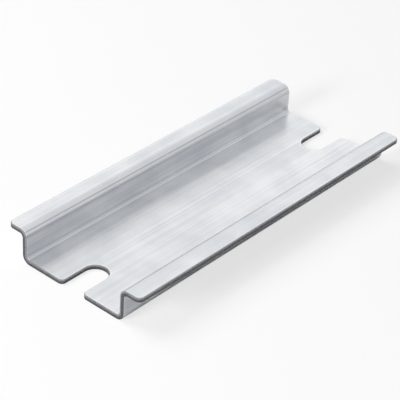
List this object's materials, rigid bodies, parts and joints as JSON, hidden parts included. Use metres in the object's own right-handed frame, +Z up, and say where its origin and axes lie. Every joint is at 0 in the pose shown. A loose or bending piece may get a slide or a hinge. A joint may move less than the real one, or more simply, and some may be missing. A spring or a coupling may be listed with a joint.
{
  "type": "din rail",
  "caption": "Short top-hat steel mounting rail with two clip flanges and an open screw slot in each end.",
  "frame": {"origin": "underside of the base, midway between the two ends and midway between the two flanges", "axes": "+X along the rail, +Y across it from one flange to the other, +Z up from the base to the flanges"},
  "size_m": [0.08, 0.035, 0.0075],
  "materials": {
    "zinc_plated_steel": "bright zinc plate over cold-rolled strip, satin, with faint lengthwise roll lines"
  },
  "bodies": {
    "root": {"rail": "zinc_plated_steel"}
  },
  "joints": []
}
